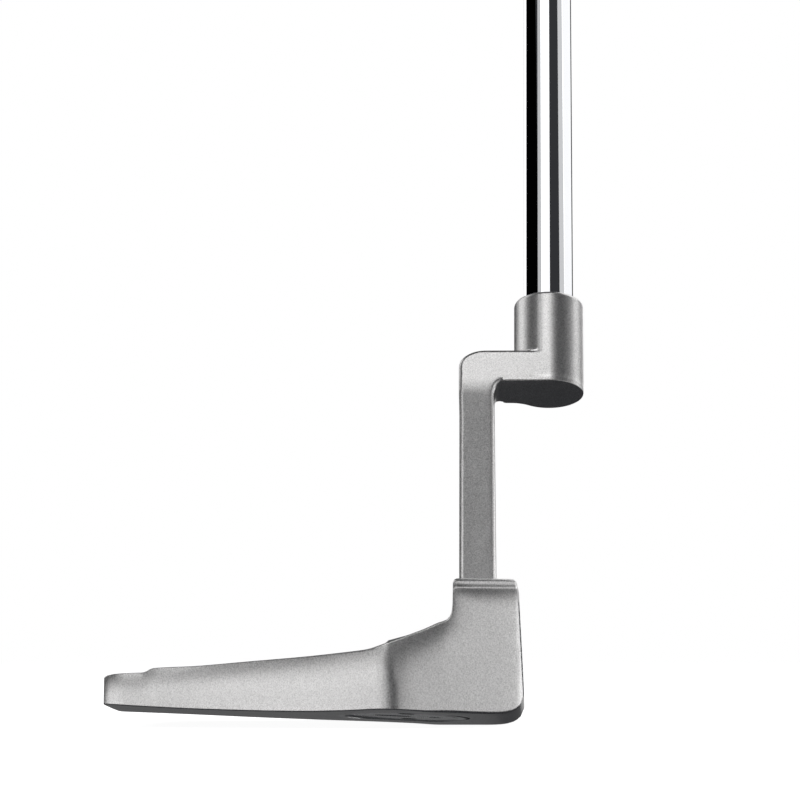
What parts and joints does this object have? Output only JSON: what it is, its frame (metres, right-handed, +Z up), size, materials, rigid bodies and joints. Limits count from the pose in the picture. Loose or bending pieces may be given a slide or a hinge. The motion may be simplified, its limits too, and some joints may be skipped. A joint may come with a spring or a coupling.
{
  "type": "golf putter",
  "caption": "Right-handed golf putter with a wide-body winged head, plumber neck, stepped tubular shaft, pistol grip and screw-in sole weights.",
  "frame": {"origin": "centre of the flat pad under the sole, where the head rests on the ground at address", "axes": "+X towards the target, out of the striking face; +Y from toe to heel; +Z up, square to the ground"},
  "size_m": [0.0897, 0.3749, 0.815],
  "materials": {
    "satin_steel": "bead-blasted satin stainless steel",
    "shaft_chrome": "bright mirror chrome",
    "insert_polymer": "matte grooved polymer",
    "damping_pad": "soft adhesive pad",
    "sight_paint": "black enamel fill",
    "weight_steel": "turned satin steel",
    "mark_blue": "dark blue enamel fill",
    "washer_nylon": "natural nylon",
    "epoxy": "cured epoxy",
    "plug_brass": "plain turned brass",
    "band_film": "plain silver film",
    "tape_paper": "double-sided paper tape",
    "eva_foam": "closed-cell foam",
    "grip_rubber": "dark pebbled rubber",
    "cap_rubber": "smooth black rubber"
  },
  "bodies": {
    "putter": {"head_body": "satin_steel", "plumber_neck": "satin_steel", "face_insert": "insert_polymer", "insert_damping_pad": "damping_pad", "sight_line": "sight_paint", "shaft": "shaft_chrome", "shaft_epoxy": "epoxy", "shaft_tip_plug": "plug_brass", "shaft_band": "band_film", "grip_tape": "tape_paper", "grip_underlisting": "eva_foam", "grip_wrap": "grip_rubber", "grip_end_cap": "cap_rubber"},
    "toe_washer": {"toe_weight_washer": "washer_nylon"},
    "toe_weight": {"toe_sole_weight": "weight_steel", "toe_weight_bar": "mark_blue", "toe_weight_dot": "mark_blue"},
    "heel_washer": {"heel_weight_washer": "washer_nylon"},
    "heel_weight": {"heel_sole_weight": "weight_steel", "heel_weight_bar": "mark_blue", "heel_weight_dot": "mark_blue"}
  },
  "joints": [
    {"name": "toe_weight_travel", "type": "slide", "parent": "putter", "child": "toe_washer", "axis": [-0.044, -0.0744, -0.9963], "range_m": [0, 0.005]},
    {"name": "toe_weight_turn", "type": "hinge", "parent": "toe_washer", "child": "toe_weight", "pos_m": [-0.009, -0.034, 0.0017], "axis": [-0.044, -0.0744, -0.9963], "range_deg": [0, 1443]},
    {"name": "heel_weight_travel", "type": "slide", "parent": "putter", "child": "heel_washer", "axis": [-0.044, 0.0744, -0.9963], "range_m": [0, 0.005]},
    {"name": "heel_weight_turn", "type": "hinge", "parent": "heel_washer", "child": "heel_weight", "pos_m": [-0.009, 0.034, 0.0017], "axis": [-0.044, 0.0744, -0.9963], "range_deg": [0, 1443]}
  ],
  "couplings": [
    {"joint": "toe_weight_turn", "follows": "toe_weight_travel", "rad_per_m": 5026.5},
    {"joint": "heel_weight_turn", "follows": "heel_weight_travel", "rad_per_m": 5026.5}
  ]
}
